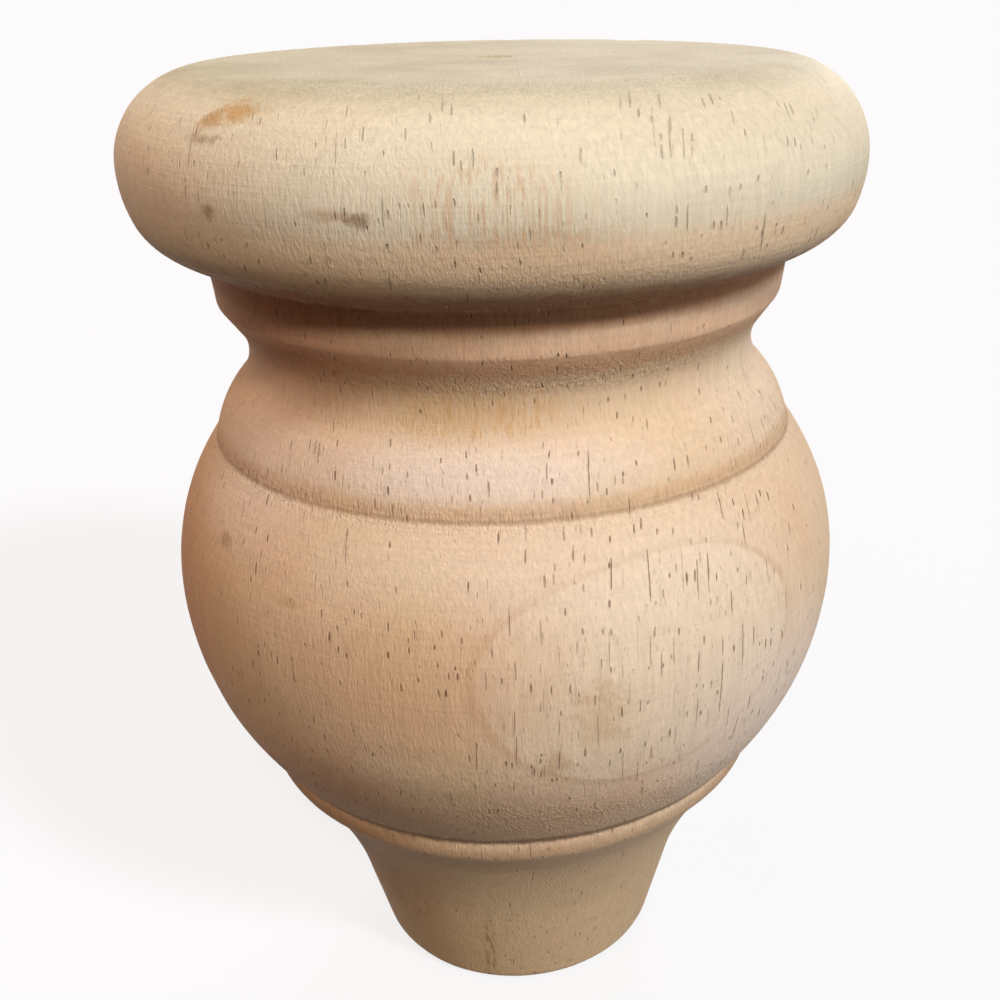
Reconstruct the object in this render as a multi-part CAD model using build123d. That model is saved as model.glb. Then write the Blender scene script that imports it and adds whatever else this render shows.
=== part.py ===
from build123d import *

import math
import os

# Turned wooden furniture foot: one piece of solid wood, shaped on a lathe and sanded.
# Millimetres, +Z up along the turning axis, origin at the middle of the face that stands on the floor.
# The wide disc is the top and goes against the furniture. The narrow end stands on the floor.

# Overall size
HEIGHT = 100.0
DISC_R = 36.6

# Foot under the ball: a straight taper that flares out to the lip
BASE_R = 16.0
BASE_ROUND = 0.8
TAPER_ANGLE = 15.5
TAPER_HEIGHT = 9.9
LIP_R = 27.8
LIP_BOTTOM = 26.4
LIP_TOP = 28.3
LIP_ROUND = 2.0

# Ball, widest at its middle
BALL_R = 35.35
BALL_MIDDLE = 48.8

# Shoulder above the ball, and the coved neck, whose angles are counted from its narrowest height
SHOULDER_R = 30.2
SHOULDER_BOTTOM = 63.6
NECK_R = 26.15
NECK_MIDDLE = 72.45
NECK_COVE_R = 4.8
NECK_LOWER_ANGLE = 42.9
NECK_UPPER_ANGLE = 35.5

# Band between the neck and the disc
BAND_BOTTOM_R = 28.85
BAND_TOP_R = 29.4
BAND_TOP = 82.0
BAND_ROUND = 0.5

# Disc: a fat rounded edge, widest at its middle, with a sloping underside
DISC_MIDDLE = 91.3
DISC_CORNER_R = 34.5
DISC_CORNER = 84.5
DISC_CORNER_ROUND = 4.0
TOP_FACE_R = 28.4

# Cone-shaped marks that the lathe's two centres leave in the end grain
CENTRE_MARK_R = 1.8
CENTRE_MARK_ANGLE = 60.0


def direction(angle):
    """A direction in the profile's plane, turned out from straight up by an angle in degrees."""
    return (math.sin(math.radians(angle)), math.cos(math.radians(angle)))


def on_neck(angle):
    """The point of the coved neck at an angle above its narrowest height. Its centre lies outside the wood."""
    turn = math.radians(angle)
    out = NECK_R + NECK_COVE_R * (1 - math.cos(turn))
    return (out, NECK_MIDDLE + NECK_COVE_R * math.sin(turn))


def profile():
    """Half of the foot's lengthwise section, from the floor face up to the top face and closed along the axis."""
    mark_depth = CENTRE_MARK_R / math.tan(math.radians(CENTRE_MARK_ANGLE / 2))
    base_edge = (BASE_R, 0)
    taper_top = (BASE_R + TAPER_HEIGHT * math.tan(math.radians(TAPER_ANGLE)), TAPER_HEIGHT)
    lip_bottom = (LIP_R, LIP_BOTTOM)
    lip_top = (LIP_R, LIP_TOP)
    ball_middle = (BALL_R, BALL_MIDDLE)
    shoulder_bottom = (SHOULDER_R, SHOULDER_BOTTOM)
    neck_bottom = on_neck(-NECK_LOWER_ANGLE)
    neck_top = on_neck(NECK_UPPER_ANGLE)
    neck_slope = math.tan(math.radians(NECK_UPPER_ANGLE))
    band_bottom = (BAND_BOTTOM_R, neck_top[1] + (BAND_BOTTOM_R - neck_top[0]) / neck_slope)
    band_top = (BAND_TOP_R, BAND_TOP)
    disc_corner = (DISC_CORNER_R, DISC_CORNER)
    disc_middle = (DISC_R, DISC_MIDDLE)
    top_edge = (TOP_FACE_R, HEIGHT)

    with BuildSketch(Plane.XZ) as section:
        with BuildLine():
            Polyline((0, mark_depth), (CENTRE_MARK_R, 0), base_edge, taper_top)
            TangentArc(taper_top, lip_bottom, tangent=direction(TAPER_ANGLE))
            Line(lip_bottom, lip_top)
            TangentArc(ball_middle, lip_top, tangent=(0, -1))
            TangentArc(ball_middle, shoulder_bottom, tangent=(0, 1))
            TangentArc(neck_bottom, shoulder_bottom, tangent=direction(180 - NECK_LOWER_ANGLE))
            ThreePointArc(neck_bottom, (NECK_R, NECK_MIDDLE), neck_top)
            Polyline(neck_top, band_bottom, band_top, disc_corner)
            TangentArc(disc_middle, disc_corner, tangent=(0, -1))
            TangentArc(disc_middle, top_edge, tangent=(0, 1))
            Polyline(top_edge, (CENTRE_MARK_R, HEIGHT), (0, HEIGHT - mark_depth), (0, mark_depth))
        make_face()
        for corner, radius in (
            (base_edge, BASE_ROUND),
            (lip_bottom, LIP_ROUND),
            (band_bottom, BAND_ROUND),
            (disc_corner, DISC_CORNER_ROUND),
        ):
            fillet(section.vertices().sort_by_distance(corner)[0], radius)
    return section.sketch


def turned_foot():
    """The whole foot: the profile turned about the axis."""
    foot = revolve(profile(), axis=Axis.Z)
    foot.label = "turned_foot"
    return foot


os.makedirs("parts", exist_ok=True)
foot = turned_foot()
export_step(foot, f"parts/{foot.label}.step")
size = foot.bounding_box().size
print(f"{foot.label}: {size.X:.2f} x {size.Y:.2f} x {size.Z:.2f} mm, {foot.volume / 1000:.1f} cm3")
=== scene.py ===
# %% [markdown]
# # Turned wooden furniture foot
# A sofa or cabinet foot, turned on a lathe from one square of pale hardwood and sanded, with no paint or
# varnish yet. The CAD part gives its exact form. This script gives it the surface of real wood: growth
# rings, open pores, torn grain, lathe lines and a few stains. Lengths are in millimetres until they go
# into a mesh.

# %% Load the CAD part
import math

import bpy
import numpy as np
from mathutils import Matrix, Vector


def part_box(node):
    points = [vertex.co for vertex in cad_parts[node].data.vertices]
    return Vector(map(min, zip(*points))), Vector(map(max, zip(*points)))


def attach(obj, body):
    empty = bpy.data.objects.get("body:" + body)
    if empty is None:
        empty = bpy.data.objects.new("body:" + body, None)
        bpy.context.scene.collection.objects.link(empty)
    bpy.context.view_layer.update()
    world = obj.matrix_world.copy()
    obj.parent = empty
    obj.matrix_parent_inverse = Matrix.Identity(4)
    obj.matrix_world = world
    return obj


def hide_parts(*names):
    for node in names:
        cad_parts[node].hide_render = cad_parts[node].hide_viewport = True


MM = 0.001

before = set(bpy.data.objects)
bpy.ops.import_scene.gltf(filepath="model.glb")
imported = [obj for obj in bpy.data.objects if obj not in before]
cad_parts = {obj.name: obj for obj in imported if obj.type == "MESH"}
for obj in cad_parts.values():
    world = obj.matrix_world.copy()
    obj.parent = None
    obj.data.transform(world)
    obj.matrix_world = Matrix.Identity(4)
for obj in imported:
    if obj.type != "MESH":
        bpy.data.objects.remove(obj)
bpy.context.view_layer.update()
low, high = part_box("turned_foot")
print("CAD box in mm:", [round(float(b - a) / MM, 2) for a, b in zip(low, high)])

# %% [markdown]
# ## The turned profile
# A turner cuts the foot to a template, the profile, while the wood spins. The surface is that profile
# carried round the axis. Blender could also spin a curve that is drawn by hand, but here the steps and
# coves are straight lines and arcs that start along a known direction, so a few radii and heights give
# the whole outline. They are the CAD part's own sizes.

# %% Sizes of the profile
HEIGHT = (high[2] - low[2]) / MM
DISC_R = (high[0] - low[0]) / 2 / MM
BASE_R = 16.0
TAPER_ANGLE = 15.5
TAPER_HEIGHT = 9.9
LIP_R = 27.8
LIP_BOTTOM = 26.4
LIP_TOP = 28.3
BALL_R = 35.35
BALL_MIDDLE = 48.8
SHOULDER_R = 30.2
SHOULDER_BOTTOM = 63.6
NECK_R = 26.15
NECK_MIDDLE = 72.45
NECK_COVE_R = 4.8
NECK_LOWER_ANGLE = 42.9
NECK_UPPER_ANGLE = 35.5
BAND_BOTTOM_R = 28.85
BAND_TOP_R = 29.4
BAND_TOP = 82.0
DISC_MIDDLE = 91.3
DISC_CORNER_R = 34.5
DISC_CORNER = 84.5
TOP_FACE_R = 28.4
CENTRE_MARK_R = 1.8
CENTRE_MARK_DEPTH = 3.1
STEP = 0.05  # spacing of the points that draw the profile
print(f"foot {2 * DISC_R:.1f} mm across and {HEIGHT:.1f} mm tall")


# %% Lines and arcs as rows of points
def straight(start, end):
    """Points on the line from start to end, a small step apart."""
    start, end = np.array(start, float), np.array(end, float)
    part = np.linspace(0, 1, max(3, round(np.hypot(*(end - start)) / STEP)))
    return start + (end - start) * part[:, None]


def bow(start, end, tangent):
    """Points on the arc that leaves start along tangent and ends at end.

    The arc turns by twice the angle between its tangent and its chord. Its centre lies square to the
    tangent, at the chord squared over twice the chord's length in that direction.
    """
    start, end, tangent = (np.array(v, float) for v in (start, end, tangent))
    chord = end - start
    side = np.array([-tangent[1], tangent[0]])
    radius = chord @ chord / (2 * chord @ side)
    turn = 2 * math.atan2(chord @ side, chord @ tangent)
    angle = np.linspace(0, turn, max(3, round(abs(radius * turn) / STEP)))[:, None]
    return start + radius * (np.sin(angle) * tangent + (1 - np.cos(angle)) * side)


def leaning(angle):
    """A direction in the profile's plane, turned out from straight up by an angle in degrees."""
    return (math.sin(math.radians(angle)), math.cos(math.radians(angle)))


def on_neck(angle):
    """The point of the coved neck at an angle above its narrowest height."""
    turn = math.radians(angle)
    return (NECK_R + NECK_COVE_R * (1 - math.cos(turn)), NECK_MIDDLE + NECK_COVE_R * math.sin(turn))


print(len(bow((10, 0), (0, 10), (0, 1))), "points draw a quarter circle of 10 mm radius")

# %% Join them into the profile
base_edge = (BASE_R, 0.0)
taper_top = (BASE_R + TAPER_HEIGHT * math.tan(math.radians(TAPER_ANGLE)), TAPER_HEIGHT)
lip_bottom = (LIP_R, LIP_BOTTOM)
lip_top = (LIP_R, LIP_TOP)
ball_middle = (BALL_R, BALL_MIDDLE)
shoulder_bottom = (SHOULDER_R, SHOULDER_BOTTOM)
neck_bottom = on_neck(-NECK_LOWER_ANGLE)
neck_top = on_neck(NECK_UPPER_ANGLE)
neck_slope = math.tan(math.radians(NECK_UPPER_ANGLE))
band_bottom = (BAND_BOTTOM_R, neck_top[1] + (BAND_BOTTOM_R - neck_top[0]) / neck_slope)
band_top = (BAND_TOP_R, BAND_TOP)
disc_corner = (DISC_CORNER_R, DISC_CORNER)
disc_middle = (DISC_R, DISC_MIDDLE)
top_edge = (TOP_FACE_R, HEIGHT)
top_mark = (CENTRE_MARK_R, HEIGHT)
base_mark = (CENTRE_MARK_R, 0.0)

sharp = np.concatenate([
    straight((0, CENTRE_MARK_DEPTH), base_mark),
    straight(base_mark, base_edge),
    straight(base_edge, taper_top),
    bow(taper_top, lip_bottom, leaning(TAPER_ANGLE)),
    straight(lip_bottom, lip_top),
    bow(ball_middle, lip_top, (0, -1))[::-1],
    bow(ball_middle, shoulder_bottom, (0, 1)),
    bow(neck_bottom, shoulder_bottom, leaning(180 - NECK_LOWER_ANGLE))[::-1],
    bow(neck_bottom, neck_top, leaning(-NECK_LOWER_ANGLE)),
    straight(neck_top, band_bottom),
    straight(band_bottom, band_top),
    straight(band_top, disc_corner),
    bow(disc_middle, disc_corner, (0, -1))[::-1],
    bow(disc_middle, top_edge, (0, 1)),
    straight(top_edge, top_mark),
    straight(top_mark, (0, HEIGHT - CENTRE_MARK_DEPTH)),
])
fresh = np.hypot(*np.diff(sharp, axis=0).T) > 1e-6
sharp = sharp[np.concatenate([[True], fresh])]
print(len(sharp), "points, radius", sharp[:, 0].min(), "to", round(sharp[:, 0].max(), 2))

# %% [markdown]
# ## Softened edges
# No edge in sanded wood is a perfect corner. Each corner is rounded by a small curve that leaves one side
# and joins the other in line with them. Even the creases, which look crisp, are soft over a few tenths of
# a millimetre. A Bevel modifier would round the finished mesh, but it is simpler to round the profile
# before it goes round the axis, and the rows can then be set closer together where it bends.


# %% Round the corners
def along(points):
    """The length of the path from its start to each of its points."""
    return np.concatenate([[0.0], np.cumsum(np.hypot(*np.diff(points, axis=0).T))])


def rounded(points, corner, reach):
    """The path with one corner rounded over a reach to each side.

    The curve is a quadratic Bezier from the path a reach before the corner to the path a reach after it,
    with the corner as its middle control point.
    """
    length = along(points)
    middle = np.argmin(np.hypot(*(points - corner).T))
    before = length < length[middle] - reach
    after = length > length[middle] + reach
    first, last = points[before][-1], points[after][0]
    part = np.linspace(0, 1, max(5, round(2 * reach / STEP)))[1:-1, None]
    curve = (1 - part) ** 2 * first + 2 * part * (1 - part) * np.array(corner) + part**2 * last
    return np.concatenate([points[before], curve, points[after]])


path = sharp
for corner, reach in (
    # corner, reach in mm
    (base_mark, 0.15),
    (base_edge, 1.0),
    (lip_bottom, 0.85),
    (lip_top, 0.3),
    (shoulder_bottom, 0.18),
    (band_bottom, 0.3),
    (band_top, 0.3),
    (disc_corner, 2.0),
    (top_edge, 0.5),
    (top_mark, 0.15),
):
    path = rounded(path, corner, reach)
print("profile", round(along(path)[-1], 1), "mm long")

# %% Choose the rows and columns of the surface
ROWS = 300
COLUMNS = 320
TURN_WEIGHT = 2.0  # millimetres of path that one radian of bend counts for, so bends get closer rows

steps = np.diff(path, axis=0)
heading = np.unwrap(np.arctan2(steps[:, 1], steps[:, 0]))
turning = np.concatenate([[0.0], np.cumsum(np.abs(np.diff(heading))), [0.0]])
turning[-1] = turning[-2]
measure = along(path) + TURN_WEIGHT * turning
wanted = np.linspace(0, measure[-1], ROWS)
profile = np.stack([np.interp(wanted, measure, path[:, i]) for i in (0, 1)], axis=1)
rise = np.gradient(profile, axis=0)
outward = np.stack([rise[:, 1], -rise[:, 0]], axis=1)
outward /= np.hypot(*outward.T)[:, None]
gaps = np.hypot(*np.diff(profile, axis=0).T)
print(f"{ROWS} rows, {gaps.min():.2f} to {gaps.max():.2f} mm apart")

# %% [markdown]
# ## Hand-worked unevenness
# Sandpaper held against spinning wood takes a little more in some places than in others, and the rim of
# the sawn top face has small chips. A Displace modifier with a texture could do this. Here both are
# worked out as a depth for each point, which is only ever cut into the surface, so the foot stays within
# its CAD size.


# %% Relief of the surface
def patches(count_along, count_around, seed):
    """Smooth noise from 0 to 1 over the surface, which closes on itself around the axis.

    Random values on a coarse grid, with so many cells along the profile and around the axis, are joined by
    eased steps: three times the part squared less twice its cube.
    """
    values = np.random.default_rng(seed).random((count_along + 1, count_around))
    row = np.linspace(0, count_along - 1e-6, ROWS)
    column = np.linspace(0, count_around, COLUMNS, endpoint=False)
    i, j = row.astype(int), column.astype(int)
    u, v = (row - i)[:, None], (column - j)[None, :]
    u, v = u * u * (3 - 2 * u), v * v * (3 - 2 * v)
    j_next = (j + 1) % count_around
    near = values[np.ix_(i, j)] * (1 - v) + values[np.ix_(i, j_next)] * v
    far = values[np.ix_(i + 1, j)] * (1 - v) + values[np.ix_(i + 1, j_next)] * v
    return near * (1 - u) + far * u


def window(value, middle, half_width):
    """One at the middle, falling to nothing a half width away, by one less the squared distance."""
    return np.clip(1 - ((value - middle) / half_width) ** 2, 0, 1)


SANDING_DEPTH = 0.14
CHIP_DEPTH = 0.5
CHIP_REACH = 1.6
CHIP_LEVEL = 1.15

radius, height = profile[:, :1], profile[:, 1:]
side = np.abs(outward[:, :1])
broad, fine = patches(26, 9, seed=4), patches(70, 24, seed=5)
sanding = SANDING_DEPTH * side * (0.65 * broad + 0.35 * fine)
rim = window(radius, TOP_FACE_R + 0.2, CHIP_REACH) * (height > DISC_MIDDLE)
bites = patches(150, 90, seed=6) + patches(60, 34, seed=7)
chips = CHIP_DEPTH * rim * np.clip(bites - CHIP_LEVEL, 0, 1)
depth = sanding + chips
print(f"relief up to {depth.max():.2f} mm deep")


# %% Build the mesh
def turned_surface(name, profile, outward, depth):
    """The profile carried round the axis, each point moved inwards by its depth.

    At angle a the radius r becomes x = r sin a and y = -r cos a, so a is 0 at the front and grows to the
    right. The first and last rows lie on the axis and are one point each.
    """
    angle = 2 * np.pi * np.arange(COLUMNS) / COLUMNS
    r = profile[:, :1] - outward[:, :1] * depth
    z = profile[:, 1:] - outward[:, 1:] * depth
    points = np.stack([r * np.sin(angle), -r * np.cos(angle), z], axis=2)
    ring = points[1:-1].reshape(-1, 3)
    poles = np.array([(0, 0, profile[0, 1]), (0, 0, profile[-1, 1])])
    index = np.arange(len(ring)).reshape(ROWS - 2, COLUMNS)
    after = np.roll(index, -1, axis=1)
    walls = np.stack([index[:-1], after[:-1], after[1:], index[1:]], axis=2).reshape(-1, 4)
    first, last = np.full(COLUMNS, len(ring)), np.full(COLUMNS, len(ring) + 1)
    bottom = np.stack([first, after[0], index[0]], axis=1)
    top = np.stack([last, index[-1], after[-1]], axis=1)
    vertices = np.concatenate([ring, poles]) * MM
    faces = walls.tolist() + bottom.tolist() + top.tolist()
    mesh = bpy.data.meshes.new(name)
    mesh.from_pydata(vertices, [], faces)
    mesh.polygons.foreach_set("use_smooth", np.ones(len(mesh.polygons), bool))
    mesh.update()
    piece = bpy.data.objects.new(name, mesh)
    bpy.context.scene.collection.objects.link(piece)
    return piece


foot = turned_surface("turned_wood", profile, outward, depth)
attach(foot, "root")
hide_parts("turned_foot")
foot.data.calc_loop_triangles()
print(len(foot.data.loop_triangles), "triangles")

# %% [markdown]
# ## Raw sanded rubberwood
# The wood has no finish on it, so it is matt and every colour comes from the wood itself. Wood is a solid
# pattern: the rings and fibres run through the block, and turning only uncovers them. A picture wrapped
# round the foot would stretch on the disc and at the neck. So the pattern is worked out in three
# dimensions from the place inside the block, and shows as an oval figure on the ball and as stripes on
# upright walls with no further work.


# %% Helpers for materials
def colour(code):
    """An sRGB hex code as linear red, green, blue and alpha."""
    parts = np.array([int(code[i : i + 2], 16) / 255 for i in (1, 3, 5)])
    linear = np.where(parts <= 0.04045, parts / 12.92, ((parts + 0.055) / 1.055) ** 2.4)
    return (*linear.tolist(), 1.0)


def add(tree, kind, inputs=(), **settings):
    """Adds a node, applies its settings, and gives each input its value or its link."""
    node = tree.nodes.new("ShaderNode" + kind)
    for name, value in settings.items():
        setattr(node, name, value)
    for name, value in dict(inputs).items():
        if isinstance(value, bpy.types.NodeSocket):
            tree.links.new(value, node.inputs[name])
        else:
            node.inputs[name].default_value = value
    return node


print("mid grey #808080 is", round(colour("#808080")[0], 3), "in linear light")

# %% The place in the block, in millimetres
wood = bpy.data.materials.new("raw_sanded_rubberwood")
wood.use_nodes = True
tree = wood.node_tree
tree.nodes.clear()

object_place = add(tree, "TexCoord").outputs["Object"]
place = add(tree, "VectorMath", {0: object_place, 3: 1 / MM}, operation="SCALE").outputs[0]
split = add(tree, "SeparateXYZ", {0: place})
across = split.outputs["X"]
up = split.outputs["Z"]
flat_place = add(tree, "VectorMath", {0: place, 1: (1, 1, 0)}, operation="MULTIPLY").outputs[0]
print("nodes so far:", len(tree.nodes))


# %% Washes of colour and places in the wood
def wash(tint, where, start, end, strength, code, mask=None):
    """The tint with a colour laid over it: none where a measure is at start, its full strength at end.

    The amount eases in between as three times the part squared less twice its cube, and is multiplied by
    the mask where there is one.
    """
    amount = add(
        tree, "MapRange", {0: where, 1: start, 2: end, 4: strength}, interpolation_type="SMOOTHSTEP"
    ).outputs[0]
    if mask is not None:
        amount = add(tree, "Math", {0: amount, 1: mask}, operation="MULTIPLY").outputs[0]
    return add(tree, "Mix", {0: amount, 6: tint, 7: colour(code)}, data_type="RGBA").outputs[2]


def away_from(centre, sizes):
    """How far out of an ellipsoid a place lies: 0 at its centre and 1 at its skin, from its half sizes."""
    away = add(tree, "VectorMath", {0: place, 1: centre}, operation="SUBTRACT").outputs[0]
    away = add(tree, "VectorMath", {0: away, 1: sizes}, operation="DIVIDE").outputs[0]
    return add(tree, "VectorMath", {0: away}, operation="LENGTH").outputs["Value"]


def above(height):
    """How far a place lies above a height, in millimetres."""
    return add(tree, "Math", {0: up, 1: -height}, operation="ADD").outputs[0]


print("colours are laid on", wood.name, "as washes")

# %% [markdown]
# ## Growth rings
# The tree's pith lay outside this block, behind it and 60 mm from its axis. A ring is a cylinder round
# that pith, and where the ball swells through one it leaves a closed oval. Inside the oval the wood is
# paler. Each ring ends in a thin brown line, which is faint in rubberwood. A Wave texture draws rings
# too, but the distance from a pith of our own choice puts the oval where it is on the real foot.

# %% Distance from the pith
PITH_DISTANCE = 60.0
PITH_BEARING = math.radians(23.0)
GRAIN_LEAN = 0.10  # to the right and to the back for each millimetre up, as no tree grows quite straight
RING_EDGE = 93.25  # from the pith to the end of the last ring that the ball uncovers
RING_WIDTH = 11.0
RING_WOBBLE = 1.4
WOBBLE_LENGTH = 26.0

pith = (-PITH_DISTANCE * math.sin(PITH_BEARING), PITH_DISTANCE * math.cos(PITH_BEARING), 0)
lean = add(tree, "Math", {0: above(BALL_MIDDLE), 1: GRAIN_LEAN}, operation="MULTIPLY").outputs[0]
shift = add(tree, "CombineXYZ", {0: lean, 1: lean, 2: 0.0}).outputs[0]
from_pith = add(tree, "VectorMath", {0: flat_place, 1: pith}, operation="SUBTRACT").outputs[0]
from_pith = add(tree, "VectorMath", {0: from_pith, 1: shift}, operation="SUBTRACT").outputs[0]
distance = add(tree, "VectorMath", {0: from_pith}, operation="LENGTH").outputs["Value"]
wobble = add(tree, "TexNoise", {"Vector": place, "Scale": 1 / WOBBLE_LENGTH, "Detail": 0.0}).outputs[0]
wobble = add(tree, "MapRange", {0: wobble, 3: -RING_WOBBLE, 4: RING_WOBBLE}).outputs[0]
age = add(tree, "Math", {0: distance, 1: wobble}, operation="ADD").outputs[0]
print("pith at", [round(v, 1) for v in pith], "mm")

# %% [markdown]
# ## Ground colour
# The ground is a warm tan. It is browner towards the lower left, which is painted shade on the side away
# from the lamps, greyer at the foot, and straw coloured on the disc. Blotches of pink and straw some 15 mm
# wide lie over it, and the wood outside the last ring, which the oval uncovers, is pale sapwood. Each is
# a wash of colour over the last one, along a height, an age or a noise.

# %% Ground colour and blotches
BLOTCH_LENGTH = 13.0

outer = add(tree, "MapRange", {0: age, 1: 70.0, 2: 90.0}).outputs[0]
tint = add(
    tree, "Mix", {0: outer, 6: colour("#e0bd96"), 7: colour("#e6cdae")}, data_type="RGBA"
).outputs[2]
blotch_place = add(tree, "VectorMath", {0: place, 1: (1, 1, 0.7)}, operation="MULTIPLY").outputs[0]
blotch = add(
    tree,
    "TexNoise",
    {"Vector": blotch_place, "Scale": 1 / BLOTCH_LENGTH, "Detail": 3.0, "Roughness": 0.6},
).outputs[0]
painted_shade_lower_left = add(tree, "VectorMath", {0: place, 1: (1, 0, 0.5)}, operation="DOT_PRODUCT").outputs["Value"]
for where, start, end, strength, code in (
    # measure, where the colour starts, where it is full, strength, colour
    (blotch, 0.50, 0.72, 0.45, "#e2b797"),
    (blotch, 0.48, 0.30, 0.50, "#e4d0a8"),
    # browner towards the lower left: painted shade on the side away from the lamps
    (painted_shade_lower_left, 11.0, -9.0, 0.52, "#cc9465"),
    (age, 90.0, 96.0, 0.75, "#efe1c9"),
    (up, 28.0, 14.0, 0.50, "#c6b48e"),
    (up, 83.0, 92.0, 0.72, "#f3eed4"),
):
    tint = wash(tint, where, start, end, strength, code)
print("nodes so far:", len(tree.nodes))

# %% Ring lines
LINE_END = 0.985  # part of a ring at which its line is full, just before the next ring starts

ring = add(tree, "Math", {0: age, 1: -RING_EDGE}, operation="ADD").outputs[0]
ring = add(tree, "Math", {0: ring, 1: 1 / RING_WIDTH}, operation="MULTIPLY").outputs[0]
ring = add(tree, "Math", {0: ring}, operation="FRACT").outputs[0]
fade = add(tree, "MapRange", {0: ring, 1: 1.0, 2: LINE_END}, interpolation_type="SMOOTHSTEP").outputs[0]
clear = add(tree, "MapRange", {0: age, 1: 84.0, 2: 92.5, 3: 0.25, 4: 1.0}).outputs[0]
lower = add(tree, "MapRange", {0: up, 1: NECK_MIDDLE, 2: BAND_TOP, 3: 1.0, 4: 0.25}).outputs[0]
clear = add(tree, "Math", {0: clear, 1: lower}, operation="MULTIPLY").outputs[0]
clear = add(tree, "Math", {0: clear, 1: fade}, operation="MULTIPLY").outputs[0]
for start, strength, code in ((0.40, 0.12, "#d6a274"), (0.95, 0.20, "#b0804f")):
    tint = wash(tint, ring, start, LINE_END, strength, code, clear)
print("nodes so far:", len(tree.nodes))

# %% [markdown]
# ## Fibres, fuzz and lathe lines
# Fibres run up the block, so their noise is stretched 66 times along it. Fuzz is the short ends of fibres
# that the sandpaper raised. Lathe and sanding lines run round the foot, so their noise is squeezed along
# the axis. Real fibres are finer than a pixel here, so fibres and fuzz are drawn as bundles some ten
# times as coarse. The colour steps that follow use the fibres, so the noises come first.

# %% Fibres, fuzz and lathe lines
FIBRE_WIDTH = 0.45
FIBRE_LENGTH = 30.0
FUZZ_WIDTH = 0.26
FUZZ_LENGTH = 1.1
LATHE_LINE = 0.30
LATHE_LENGTH = 14.0

noises = []
for sizes, detail, roughness in (
    ((FIBRE_WIDTH, FIBRE_WIDTH, FIBRE_LENGTH), 1.0, 0.5),
    ((FUZZ_WIDTH, FUZZ_WIDTH, FUZZ_LENGTH), 2.0, 0.75),
    ((LATHE_LENGTH, LATHE_LENGTH, LATHE_LINE), 1.0, 0.6),
):
    spot = add(tree, "VectorMath", {0: place, 1: sizes}, operation="DIVIDE").outputs[0]
    noise = add(
        tree, "TexNoise", {"Vector": spot, "Scale": 1.0, "Detail": detail, "Roughness": roughness}
    )
    noises.append(noise.outputs[0])
fibre, fuzz, lathe = noises
print("nodes so far:", len(tree.nodes))

# %% [markdown]
# ## Patches, stains and creases
# Wood is never one colour. Wide soft patches make it paler or browner, and most of them are painted light
# and painted shade: painted highlights on the shoulder and the ball, painted light on the right, browner
# painted shade on the lower left, and painted shade that tones down the lit top of the disc. A few marks
# of glue and sap were left on the disc and the ball, and brown streaks follow the fibres. A painted picture
# would have to be wrapped round the foot, so each mark is a wash inside an ellipsoid instead, placed where
# it shows on the real foot, with a more or less ragged edge. Painted shade darkens the creases and the
# places under the disc and the lip all the way round, and bands of painted light brighten the disc's lower
# edge, the band and the ball just below the shoulder crease.

# %% Patches of painted light, painted shade and wood tone, and stains
SHADE_LIGHT_AND_COLOUR_PATCHES = (
    # place in mm, half sizes in mm, colour, strength
    # the wood's own orange tone on the ball's front left
    ((-9.0, -34.0, 49.5), (17.0, 12.0, 11.0), "#cc915c", 0.38),
    # painted shade under the ball, front left
    ((-13.0, -32.0, 34.5), (25.0, 14.0, 6.5), "#8c5c38", 0.42),
    # painted shade on the foot's left, under the lip
    ((-17.0, -13.0, 17.0), (10.0, 11.0, 15.0), "#85562f", 0.50),
    # painted shade on the band and the neck, left
    ((-20.0, -20.0, 78.0), (15.0, 15.0, 8.0), "#bd7048", 0.55),
    # pinker on the disc's left side
    ((-30.0, -22.0, 91.0), (15.0, 20.0, 7.0), "#f8d6b6", 0.60),
    # painted highlight: the sheen on the shoulder
    ((-3.5, -28.5, 67.3), (23.0, 9.0, 3.6), "#f2e4d8", 0.60),
    # painted highlight on the shoulder's left
    ((-25.0, -18.0, 65.0), (13.0, 14.0, 9.0), "#f5dfd0", 0.50),
    # painted highlight on the ball's top front
    ((8.0, -30.0, 60.0), (26.0, 12.0, 5.5), "#eedec9", 0.45),
    # painted light on the neck and the shoulder, right
    ((24.0, -12.0, 70.0), (12.0, 14.0, 8.0), "#f0e2ce", 0.40),
    # painted light on the ball's lower right
    ((25.0, -22.0, 39.0), (17.0, 15.0, 13.0), "#f8eadc", 0.75),
    # painted shade on the ball's left side
    ((-34.0, -8.0, 46.0), (9.0, 16.0, 15.0), "#b0683c", 0.40),
    # painted shade that tones down the lit top of the disc on the right
    ((16.0, -24.0, 97.5), (26.0, 17.0, 5.0), "#d9ccb0", 0.50),
)
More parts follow.
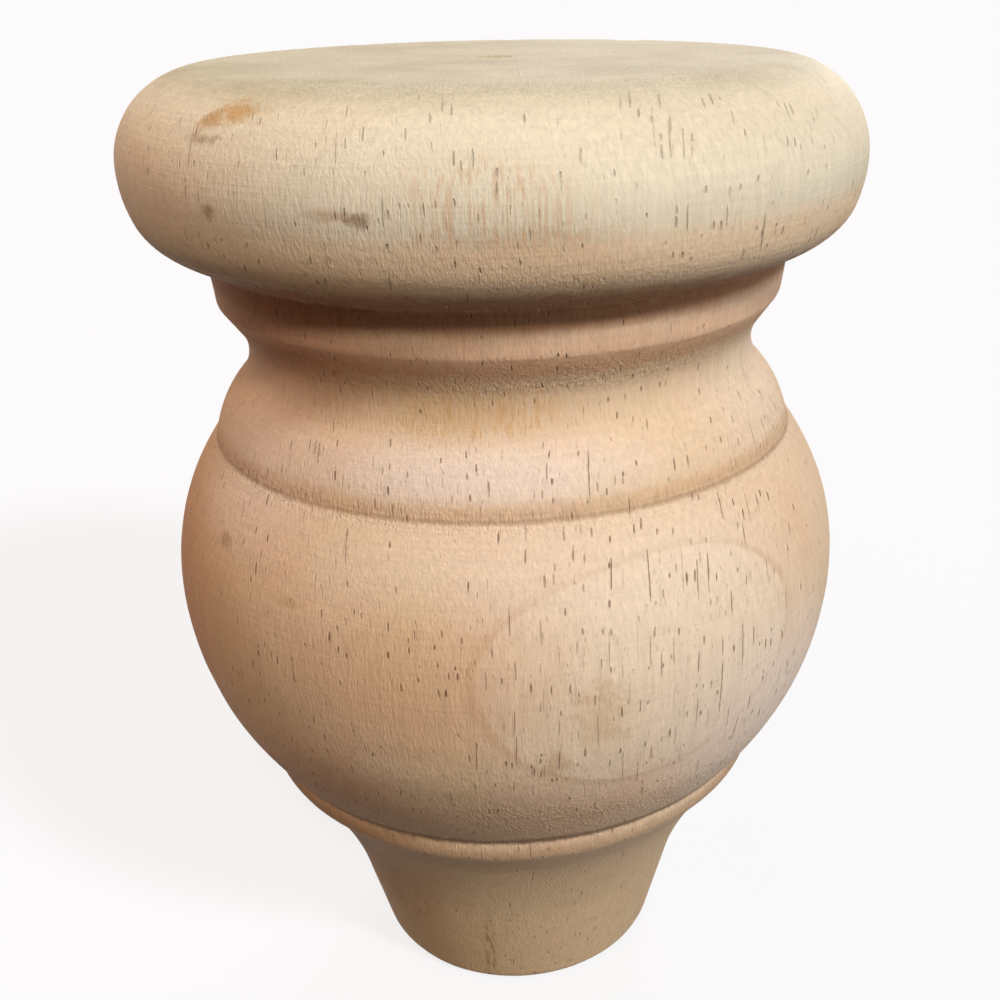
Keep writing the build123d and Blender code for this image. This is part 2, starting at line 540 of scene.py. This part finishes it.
STAINS = (
    ((-20.3, -26.8, 98.0), (3.6, 2.4, 1.3), "#cb9a50", 0.75),
    ((-22.2, -25.8, 97.2), (1.8, 1.6, 1.0), "#bb8a44", 0.55),
    ((-22.8, -28.6, 90.7), (0.8, 0.9, 0.9), "#8f6434", 0.60),
    ((-23.0, -26.7, 96.0), (2.8, 2.2, 0.5), "#8a5a20", 0.45),
    ((-10.4, -35.1, 90.9), (1.3, 2.0, 0.7), "#70441c", 0.60),
    ((-12.6, -34.4, 91.1), (2.6, 2.0, 0.6), "#a8743c", 0.40),
    ((3.0, -36.1, 87.8), (10.5, 3.0, 2.8), "#b58a55", 0.50),
    ((9.0, -34.8, 86.6), (3.4, 2.5, 1.8), "#9a6f3c", 0.35),
    ((3.5, -34.4, 42.0), (1.7, 2.0, 2.2), "#b58a55", 0.30),
    ((8.0, -34.4, 46.5), (3.6, 2.5, 4.2), "#c8a570", 0.36),
    ((-26.5, -20.3, 58.3), (1.1, 1.5, 0.8), "#a07a44", 0.50),
    ((-19.0, -27.6, 55.6), (2.2, 2.0, 0.7), "#b08a4a", 0.35),
    ((-4.7, -25.7, 72.5), (9.0, 3.0, 3.0), "#cb9f58", 0.30),
)
RAGGED_LENGTH = 1.3
PATCH_EDGE = 0.25
STAIN_EDGE = 0.9

ragged = add(
    tree, "TexNoise", {"Vector": place, "Scale": 1 / RAGGED_LENGTH, "Detail": 4.0, "Roughness": 0.75}
)
ragged = add(tree, "MapRange", {0: ragged.outputs[0], 1: 0.2, 2: 0.8, 3: -0.8, 4: 0.8}).outputs[0]
for raggedness, marks in ((PATCH_EDGE, SHADE_LIGHT_AND_COLOUR_PATCHES), (STAIN_EDGE, STAINS)):
    for centre, sizes, code, strength in marks:
        away = away_from(centre, sizes)
        away = add(tree, "Math", {0: ragged, 1: raggedness, 2: away}, operation="MULTIPLY_ADD").outputs[0]
        tint = wash(tint, away, 1.2, 0.2, strength, code)
print(len(SHADE_LIGHT_AND_COLOUR_PATCHES), "patches and", len(STAINS), "stains")

# %% Streaks along the fibres
STREAKS = (
    # place in mm, half sizes in mm, colour, strength
    ((-1.0, -36.0, 91.0), (11.0, 6.0, 6.5), "#c28e58", 0.45),
    ((-2.0, -26.0, 72.0), (13.0, 5.0, 3.6), "#c08d45", 0.40),
    ((-3.4, -17.5, 4.0), (1.0, 4.0, 12.0), "#8f6a3c", 0.70),
)
grain = add(tree, "MapRange", {0: fibre, 1: 0.40, 2: 0.68}, interpolation_type="SMOOTHSTEP").outputs[0]
for centre, sizes, code, strength in STREAKS:
    tint = wash(tint, away_from(centre, sizes), 1.0, 0.3, strength, code, grain)
print(len(STREAKS), "streaked places")

# %% Bands round the foot: painted shade in creases and under overhangs, painted light beside them
PAINTED_SHADE_AND_LIGHT_BANDS = (
    # height and half height in mm, raggedness, colour, strength
    # painted light on the disc's lower edge, which turns downwards
    (87.2, 3.2, 0.25, "#ffe2bc", 0.80),
    # painted light on the lit band
    (78.2, 2.2, 0.25, "#f2c09c", 0.40),
    # painted shadow of the disc on the band
    (81.2, 1.9, 0.25, "#b0622a", 0.50),
    # painted shade under the disc
    (83.2, 1.8, 0.25, "#74360a", 0.74),
    # painted shade in the neck's groove under the band
    (76.4, 1.3, 0.60, "#cd8a58", 0.34),
    # painted shade, ragged, on the steep foot of the shoulder
    (64.4, 1.2, 0.60, "#c3935e", 0.38),
    # painted shade in the shoulder crease
    (63.65, 0.35, 0.25, "#8a5a34", 0.35),
    # painted light on the ball just below the shoulder crease
    (63.1, 0.6, 0.25, "#f6e2c6", 0.20),
    # painted shade under the ball, just above the lip
    (28.9, 0.9, 0.80, "#5e3a1c", 0.55),
    # painted shade on and under the lip
    (26.9, 1.3, 0.40, "#8e6a44", 0.42),
    # painted shade on the foot under the lip
    (23.5, 2.5, 0.25, "#7a4a28", 0.15),
)
for middle, half, raggedness, code, strength in PAINTED_SHADE_AND_LIGHT_BANDS:
    away = add(tree, "Math", {0: above(middle), 1: 1 / half}, operation="MULTIPLY").outputs[0]
    away = add(tree, "Math", {0: away}, operation="ABSOLUTE").outputs[0]
    away = add(tree, "Math", {0: ragged, 1: raggedness, 2: away}, operation="MULTIPLY_ADD").outputs[0]
    tint = wash(tint, away, 1.0, 0.2, strength, code)
print(len(PAINTED_SHADE_AND_LIGHT_BANDS), "creases")

# %% Top face, sawn across the fibres
height_now = add(tree, "Math", {0: ragged, 1: 0.9, 2: up}, operation="MULTIPLY_ADD").outputs[0]
end_grain = add(
    tree, "MapRange", {0: height_now, 1: HEIGHT - 2.4, 2: HEIGHT + 0.2}, interpolation_type="SMOOTHSTEP"
).outputs[0]
grey = add(tree, "Math", {0: end_grain, 1: 0.85}, operation="MULTIPLY").outputs[0]
tint = add(tree, "Mix", {0: grey, 6: tint, 7: colour("#d1cbad")}, data_type="RGBA").outputs[2]
tint = wash(tint, blotch, 0.38, 0.68, 0.45, "#b4a983", end_grain)
print("nodes so far:", len(tree.nodes))

# %% [markdown]
# ## Fine tone
# Where the gouge cut against the grain, in the coves and under the ball, short fibres were torn up, and
# there the fuzz is coarser and shows light and dark. It is one factor that scales all the colours, so it
# goes over the washes and under the pores.

# %% Torn zones and fine tone
TORN_ZONES = ((32.0, 6.0), (63.8, 1.4), (75.4, 2.0))  # height and half height in mm

torn = add(
    tree, "MapRange", {0: up, 1: HEIGHT - 1.2, 2: HEIGHT - 0.2}, interpolation_type="SMOOTHSTEP"
).outputs[0]
for middle, half in TORN_ZONES:
    near = add(tree, "Math", {0: above(middle)}, operation="ABSOLUTE").outputs[0]
    near = add(
        tree, "MapRange", {0: near, 1: half, 2: 0.3 * half}, interpolation_type="SMOOTHSTEP"
    ).outputs[0]
    torn = add(tree, "Math", {0: torn, 1: near}, operation="MAXIMUM").outputs[0]

tone = add(tree, "MapRange", {0: fibre, 1: 0.3, 2: 0.7, 3: 0.94, 4: 1.04}).outputs[0]
for noise, change in ((lathe, 0.025), (fuzz, 0.045)):
    amount = add(tree, "MapRange", {0: noise, 1: 0.25, 2: 0.75, 3: -change, 4: change}).outputs[0]
    tone = add(tree, "Math", {0: tone, 1: amount}, operation="ADD").outputs[0]
coarser = add(tree, "Math", {0: amount, 1: torn}, operation="MULTIPLY").outputs[0]
tone = add(tree, "Math", {0: coarser, 1: 2.0, 2: tone}, operation="MULTIPLY_ADD").outputs[0]
tint = add(tree, "VectorMath", {0: tint, 3: tone}, operation="SCALE").outputs[0]
print("nodes so far:", len(tree.nodes))

# %% [markdown]
# ## Open pores
# Rubberwood's vessels are tubes wide enough to see. Turning cuts them open in short grooves, so they show
# as thin upright ticks. Each tick is dark, partly from the pore's own colour and partly as painted shade
# inside the groove, and beside it on one side lies a raised torn edge that is pale, partly from pale torn
# fibres and partly as a painted highlight. Thousands of grooves a fifth of a millimetre wide would take
# millions of triangles, so they are colour and bump. They are worked out on the wall unrolled flat, by the
# way around and the height, which a Voronoi texture divides into random cells with at most one pore in
# each. Where the foot swells, the way around is shifted a little, so that ticks to either side stay more
# upright.

# %% The wall unrolled
MEAN_RADIUS = 30.0
BEND_LENGTH = 6.0
BEND = 0.5
SWELL_SHIFT = 0.5  # millimetres around for each millimetre of swell, halfway to the side
CROWD_LENGTH = 8.0

back = add(tree, "Math", {0: split.outputs["Y"], 1: -1.0}, operation="MULTIPLY").outputs[0]
bearing = add(tree, "Math", {0: across, 1: back}, operation="ARCTAN2").outputs[0]
around = add(tree, "Math", {0: bearing, 1: MEAN_RADIUS}, operation="MULTIPLY").outputs[0]
bend = add(tree, "TexNoise", {"Vector": place, "Scale": 1 / BEND_LENGTH, "Detail": 0.0}).outputs[0]
around = add(tree, "Math", {0: bend, 1: BEND, 2: around}, operation="MULTIPLY_ADD").outputs[0]
axis_distance = add(tree, "VectorMath", {0: flat_place}, operation="LENGTH").outputs["Value"]
swell = add(tree, "Math", {0: axis_distance, 1: -MEAN_RADIUS}, operation="ADD").outputs[0]
sideways = add(tree, "Math", {0: bearing, 1: 2.0}, operation="MULTIPLY").outputs[0]
sideways = add(tree, "Math", {0: sideways}, operation="SINE").outputs[0]
swell = add(tree, "Math", {0: swell, 1: sideways}, operation="MULTIPLY").outputs[0]
around = add(tree, "Math", {0: swell, 1: SWELL_SHIFT, 2: around}, operation="MULTIPLY_ADD").outputs[0]
unrolled = add(tree, "CombineXYZ", {0: around, 1: up, 2: 0.0}).outputs[0]
crowd = add(tree, "TexNoise", {"Vector": place, "Scale": 1 / CROWD_LENGTH, "Detail": 0.0}).outputs[0]
crowd = add(tree, "MapRange", {0: crowd, 1: 0.34, 2: 0.64, 3: 0.35, 4: 1.2}).outputs[0]
jagged = add(tree, "MapRange", {0: fuzz, 1: 0.25, 2: 0.75, 3: -0.45, 4: 0.45}).outputs[0]
print("nodes so far:", len(tree.nodes))


# %% Pores of three sizes
# The pale torn edge on one side of each pore is partly a painted highlight.
EDGE_SHIFT = 1.7  # how far the torn edge lies beside its pore, in half widths of the pore


def pore_masks(size, cell_size, shift, share):
    """How far a place lies inside a pore and inside its torn edge, each from 0 to 1.

    Each cell of the unrolled wall holds one point. The distance to it, divided by the pore's half sizes, is
    1 at the pore's wall and gives the mask, and the same ellipse moved aside gives the edge. A random share
    of the cells has a pore, some are longer and some are fainter.
    """
    cell = add(tree, "VectorMath", {0: unrolled, 1: (*shift, 0)}, operation="ADD").outputs[0]
    cell = add(tree, "VectorMath", {0: cell, 1: (*cell_size, 1)}, operation="DIVIDE").outputs[0]
    grid = add(
        tree, "TexVoronoi", {"Vector": cell, "Scale": 1.0, "Randomness": 1.0}, voronoi_dimensions="2D"
    )
    chance = add(tree, "SeparateXYZ", {0: grid.outputs["Color"]}).outputs
    away = add(
        tree, "VectorMath", {0: cell, 1: grid.outputs["Position"]}, operation="SUBTRACT"
    ).outputs[0]
    scale = (2 * cell_size[0] / size[0], 2 * cell_size[1] / size[1], 0)
    away = add(tree, "VectorMath", {0: away, 1: scale}, operation="MULTIPLY").outputs[0]
    longer = add(tree, "MapRange", {0: chance[1], 3: 1.7, 4: 0.6}).outputs[0]
    stretch = add(tree, "CombineXYZ", {0: 1.0, 1: longer, 2: 0.0}).outputs[0]
    away = add(tree, "VectorMath", {0: away, 1: stretch}, operation="MULTIPLY").outputs[0]
    limit = add(tree, "Math", {0: share, 1: crowd}, operation="MULTIPLY").outputs[0]
    chosen = add(tree, "Math", {0: chance[0], 1: limit}, operation="LESS_THAN").outputs[0]
    weight = add(tree, "MapRange", {0: chance[2], 1: 0.25, 3: 0.20, 4: 1.0}).outputs[0]
    weight = add(tree, "Math", {0: chosen, 1: weight}, operation="MULTIPLY").outputs[0]
    masks = []
    for aside in (0.0, EDGE_SHIFT):
        gap = add(tree, "VectorMath", {0: away, 1: (aside, 0, 0)}, operation="ADD").outputs[0]
        gap = add(tree, "VectorMath", {0: gap}, operation="LENGTH").outputs["Value"]
        gap = add(tree, "Math", {0: gap, 1: jagged}, operation="ADD").outputs[0]
        mask = add(
            tree, "MapRange", {0: gap, 1: 1.25, 2: 0.55}, interpolation_type="SMOOTHSTEP"
        ).outputs[0]
        masks.append(add(tree, "Math", {0: mask, 1: weight}, operation="MULTIPLY").outputs[0])
    return masks


figure = add(tree, "MapRange", {0: age, 1: 90.0, 2: 93.5, 3: 0.06, 4: 0.50}).outputs[0]
below = add(tree, "MapRange", {0: up, 1: BAND_TOP, 2: SHOULDER_BOTTOM, 3: 0.25, 4: 1.0}).outputs[0]
figure = add(tree, "Math", {0: figure, 1: below}, operation="MULTIPLY").outputs[0]
pores, pore_edges = pore_masks(size=(0.18, 0.70), cell_size=(0.80, 1.8), shift=(0, 0), share=0.40)
long_pores, long_edges = pore_masks(size=(0.10, 3.0), cell_size=(1.2, 4.4), shift=(31, 3), share=figure)
small_pores, small_edges = pore_masks(size=(0.14, 0.55), cell_size=(0.60, 1.2), shift=(5, 11), share=0.60)
print("nodes so far:", len(tree.nodes))

# %% Colour of the pores
all_pores = add(tree, "Math", {0: pores, 1: long_pores}, operation="MAXIMUM").outputs[0]
all_edges = add(tree, "Math", {0: pore_edges, 1: long_edges}, operation="MAXIMUM").outputs[0]
worn = add(tree, "MapRange", {0: up, 1: BAND_TOP, 2: DISC_MIDDLE, 3: 1.0, 4: 0.40}).outputs[0]
upright = add(tree, "MapRange", {0: up, 1: HEIGHT - 0.3, 2: HEIGHT - 1.5}).outputs[0]
worn = add(tree, "Math", {0: worn, 1: upright}, operation="MULTIPLY").outputs[0]
low = add(tree, "MapRange", {0: up, 1: LIP_BOTTOM, 2: BALL_MIDDLE, 3: 0.5, 4: 1.0}).outputs[0]
worn = add(tree, "Math", {0: worn, 1: low}, operation="MULTIPLY").outputs[0]
# Pale edges: pale torn fibre and painted highlight. Dark pores: their own colour and painted shade inside
# the groove.
for mask, strength, code in (
    (small_edges, 0.16, "#f9ead2"),
    (all_edges, 0.42, "#f9ead2"),
    (small_pores, 0.32, "#946026"),
    (all_pores, 0.72, "#7a4311"),
):
    amount = add(tree, "Math", {0: mask, 1: strength}, operation="MULTIPLY").outputs[0]
    amount = add(tree, "Math", {0: amount, 1: worn}, operation="MULTIPLY").outputs[0]
    tint = add(tree, "Mix", {0: amount, 6: tint, 7: colour(code)}, data_type="RGBA").outputs[2]
print("nodes so far:", len(tree.nodes))

# %% Relief of the wood, in millimetres
PORE_DEPTH = 0.12
EDGE_HEIGHT = 0.036
FUZZ_HEIGHT = 0.10
TORN_FUZZ_HEIGHT = 0.24
LATHE_HEIGHT = 0.025

roughening = add(tree, "MapRange", {0: torn, 3: FUZZ_HEIGHT, 4: TORN_FUZZ_HEIGHT}).outputs[0]
relief = add(tree, "Math", {0: fuzz, 1: roughening}, operation="MULTIPLY").outputs[0]
grooves = add(tree, "Math", {0: all_pores, 1: upright}, operation="MULTIPLY").outputs[0]
for part, size in ((grooves, -PORE_DEPTH), (all_edges, EDGE_HEIGHT), (lathe, LATHE_HEIGHT)):
    relief = add(tree, "Math", {0: part, 1: size, 2: relief}, operation="MULTIPLY_ADD").outputs[0]
bump = add(tree, "Bump", {"Strength": 1.0, "Distance": MM, "Height": relief}).outputs[0]
print("nodes so far:", len(tree.nodes))

# %% Finish the wood
# Raw wood, sanded and not varnished: the IOR of cellulose is near 1.5, and the fibres scatter light, so the
# eye sees a wide and very weak sheen.
shader = add(
    tree,
    "BsdfPrincipled",
    {"Base Color": tint, "Roughness": 0.58, "IOR": 1.5, "Specular IOR Level": 0.08, "Normal": bump},
)
add(tree, "OutputMaterial", {"Surface": shader.outputs[0]})
foot.data.materials.append(wood)
print("wood has", len(tree.nodes), "nodes")

# %% [markdown]
# ## Floor, light and camera
# The foot stands on a pale floor that keeps its soft shadow. To the eye the floor and the room are white,
# but they light the wood as a dark table in a dim room would. A Light Path node can do that, because it
# tells rays that come from the camera from rays that carry light. Two lamps stand in front, to the right
# and above, as a window beside the camera would. Four wider and weaker ones are the walls round it, so
# that the hollows stay dark and warm while the back can still be seen.


# %% What the eye sees
def seen_by_eye(tree):
    """1 for rays from the camera, also by way of a mirror or glass, and 0 for rays that carry light."""
    rays = add(tree, "LightPath").outputs
    seen = add(
        tree, "Math", {0: rays["Is Camera Ray"], 1: rays["Is Glossy Ray"]}, operation="MAXIMUM"
    ).outputs[0]
    return add(tree, "Math", {0: seen, 1: rays["Is Transmission Ray"]}, operation="MAXIMUM").outputs[0]


WHITE = colour("#ffffff")
print("white is", WHITE)

# %% Floor
# Matt paper: it scatters light evenly, so all it shows is the shadow.
FLOOR_REACH = 40
PAPER_GLOW = 0.75

corners = [(x * FLOOR_REACH, y * FLOOR_REACH, 0) for x, y in ((-1, -1), (1, -1), (1, 1), (-1, 1))]
floor_mesh = bpy.data.meshes.new("floor")
floor_mesh.from_pydata(corners, [], [(0, 1, 2, 3)])
floor = bpy.data.objects.new("floor", floor_mesh)
bpy.context.scene.collection.objects.link(floor)

paper = bpy.data.materials.new("pale_studio_paper")
paper.use_nodes = True
sheet = paper.node_tree
sheet.nodes.clear()
lit = add(sheet, "BsdfDiffuse", {"Color": colour("#f2f7fd")}).outputs[0]
glow = add(sheet, "Emission", {"Color": WHITE, "Strength": 1.0}).outputs[0]
pale = add(sheet, "MixShader", {0: PAPER_GLOW, 1: lit, 2: glow}).outputs[0]
table = add(sheet, "BsdfDiffuse", {"Color": colour("#33261c")}).outputs[0]
floor_look = add(sheet, "MixShader", {0: seen_by_eye(sheet), 1: table, 2: pale}).outputs[0]
add(sheet, "OutputMaterial", {"Surface": floor_look})
floor_mesh.materials.append(paper)
print("floor is", 2 * FLOOR_REACH, "m square")


# %% Lights
def sun(name, bearing, elevation, strength, width, tint):
    """A lamp far away, at a bearing right of the front and an elevation, both in degrees."""
    lamp = bpy.data.lights.new(name, "SUN")
    lamp.energy = strength
    lamp.angle = math.radians(width)
    lamp.color = colour(tint)[:3]
    piece = bpy.data.objects.new(name, lamp)
    b, e = math.radians(bearing), math.radians(elevation)
    towards = Vector((math.sin(b) * math.cos(e), -math.cos(b) * math.cos(e), math.sin(e)))
    piece.rotation_euler = towards.to_track_quat("Z", "Y").to_euler()
    bpy.context.scene.collection.objects.link(piece)
    return piece


LAMPS = (
    # name, bearing and elevation in degrees, strength, width in degrees, colour
    ("window_light", 45, 38, 1.62, 8, "#f3f6ff"),
    ("front_light", 8, 40, 1.45, 8, "#fff1e3"),
    ("right_wall", 66, 2, 0.86, 50, "#fff4e6"),
    ("left_wall", -44, 50, 0.52, 60, "#ffd8be"),
    ("back_left_wall", -128, 26, 0.80, 60, "#ffcfa8"),
    ("back_light", 165, 24, 1.30, 40, "#f4f2ff"),
)
for lamp in LAMPS:
    sun(*lamp)
print(len(LAMPS), "lamps")

# %% Room
ROOM_LIGHT = 0.012

world = bpy.data.worlds.new("soft_room")
world.use_nodes = True
bpy.context.scene.world = world
room = world.node_tree
room.nodes.clear()
even = add(room, "Background", {"Color": colour("#ffdcc4"), "Strength": ROOM_LIGHT}).outputs[0]
backdrop = add(room, "Background", {"Color": WHITE, "Strength": 1.0}).outputs[0]
both = add(room, "MixShader", {0: seen_by_eye(room), 1: even, 2: backdrop}).outputs[0]
add(room, "OutputWorld", {"Surface": both})
bpy.context.scene.view_settings.view_transform = "Standard"
print("room light", ROOM_LIGHT)

# %% [markdown]
# ## Camera
# The photograph was taken from close by, a little above the foot and looking down at it. The camera's
# place came from matching the outline, and the creases, which are circles round the axis seen at a slant.

# %% Camera
IMAGE_SIZE = 1000
FOCAL_PIXELS = 1241.97
CENTRE_X = 552.1  # the pixel that lies straight ahead of the lens, across and down
CENTRE_Y = 418.8
EYE = Vector((0.0, -126.87, 108.51)) * MM
LOOK_DOWN = math.radians(20.145)
LOOK_RIGHT = math.radians(2.334)
ROLL = math.radians(0.959)

ahead = Vector((
    math.sin(LOOK_RIGHT) * math.cos(LOOK_DOWN),
    math.cos(LOOK_RIGHT) * math.cos(LOOK_DOWN),
    -math.sin(LOOK_DOWN),
))
right = Vector((math.cos(LOOK_RIGHT), -math.sin(LOOK_RIGHT), 0.0))
down = ahead.cross(right)
image_right = right * math.cos(ROLL) + down * math.sin(ROLL)
image_down = down * math.cos(ROLL) - right * math.sin(ROLL)

lens = bpy.data.cameras.new("camera")
lens.sensor_width = 36.0
lens.lens = FOCAL_PIXELS / IMAGE_SIZE * lens.sensor_width
lens.shift_x = (IMAGE_SIZE / 2 - CENTRE_X) / IMAGE_SIZE
lens.shift_y = (CENTRE_Y - IMAGE_SIZE / 2) / IMAGE_SIZE
lens.clip_start = 0.005
camera = bpy.data.objects.new("camera", lens)
camera.matrix_world = (
    Matrix.Translation(EYE) @ Matrix((image_right, -image_down, -ahead)).transposed().to_4x4()
)
bpy.context.scene.collection.objects.link(camera)
bpy.context.scene.camera = camera
print(f"lens {lens.lens:.1f} mm, shift {lens.shift_x:.3f}, {lens.shift_y:.3f}")
